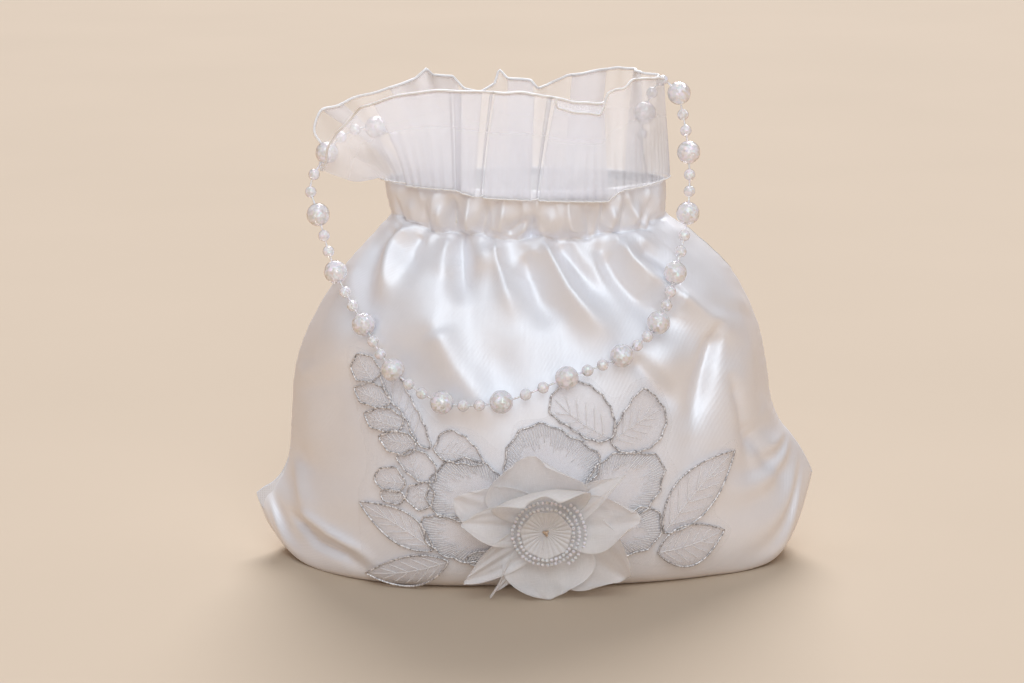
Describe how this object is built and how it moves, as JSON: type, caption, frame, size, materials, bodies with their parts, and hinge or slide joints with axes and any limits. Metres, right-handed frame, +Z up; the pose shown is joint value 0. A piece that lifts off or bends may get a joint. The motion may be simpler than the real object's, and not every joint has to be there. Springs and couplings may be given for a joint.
{
  "type": "beaded-handle gathered pouch",
  "caption": "Soft satin pouch with a gathered neck, sheer ruffle and lace flower, and a beaded strand handle that swings over the mouth.",
  "frame": {"origin": "on the rest face, under the middle of the object's bounding box; the side seams lie in the plane y = 8.7 mm", "axes": "+Z up from the rest face, -Y out of the front with the flower, +X to the right as seen from the front"},
  "size_m": [0.197, 0.111, 0.1702],
  "materials": {
    "satin": "satin sheen",
    "lining": "matte",
    "elastic": "matte",
    "organza": "sheer",
    "lace": "corded",
    "chiffon": "sheer, matte",
    "crystal": "clear, pearly",
    "thread": "clear, pearly"
  },
  "bodies": {
    "bag": {"anchor_tab_left": "satin", "anchor_tab_right": "satin", "back_lining": "lining", "back_panel": "satin", "casing_tape_back": "lining", "casing_tape_front": "lining", "chiffon_petal_01": "chiffon", "chiffon_petal_02": "chiffon", "chiffon_petal_03": "chiffon", "chiffon_petal_04": "chiffon", "chiffon_petal_05": "chiffon", "chiffon_petal_06": "chiffon", "chiffon_petal_07": "chiffon", "chiffon_petal_08": "chiffon", "chiffon_petal_09": "chiffon", "chiffon_petal_10": "chiffon", "flower_centre": "chiffon", "front_lining": "lining", "front_panel": "satin", "handle_bead_00": "crystal", "handle_bead_13": "crystal", "lace_leaves_left": "lace", "lace_leaves_right": "lace", "lace_leaves_upper": "lace", "lace_net_ground": "lace", "lace_petal_bottom": "lace", "lace_petal_lower_left": "lace", "lace_petal_lower_right": "lace", "lace_petal_top": "lace", "lace_petal_upper_left": "lace", "lace_petal_upper_right": "lace", "lace_sprig_leaf": "lace", "lace_sprig_lower": "lace", "lace_sprig_upper": "lace", "neck_elastic": "elastic", "organza_ruffle": "organza", "seed_bead_ring_inner": "crystal", "seed_bead_ring_outer": "crystal", "tail_bead_left": "crystal", "tail_bead_right": "crystal", "tail_thread_left": "thread", "tail_thread_right": "thread"},
    "handle": {"handle_bead_01": "crystal", "handle_bead_02": "crystal", "handle_bead_03": "crystal", "handle_bead_04": "crystal", "handle_bead_05": "crystal", "handle_bead_06": "crystal", "handle_bead_07": "crystal", "handle_bead_08": "crystal", "handle_bead_09": "crystal", "handle_bead_10": "crystal", "handle_bead_11": "crystal", "handle_bead_12": "crystal", "handle_thread": "thread"}
  },
  "joints": [
    {"name": "handle_swing", "type": "hinge", "parent": "bag", "child": "handle", "pos_m": [-0.072, 0.01023, 0.1428], "axis": [-0.9841, 0.0364, -0.1741], "range_deg": [0, 180]}
  ]
}
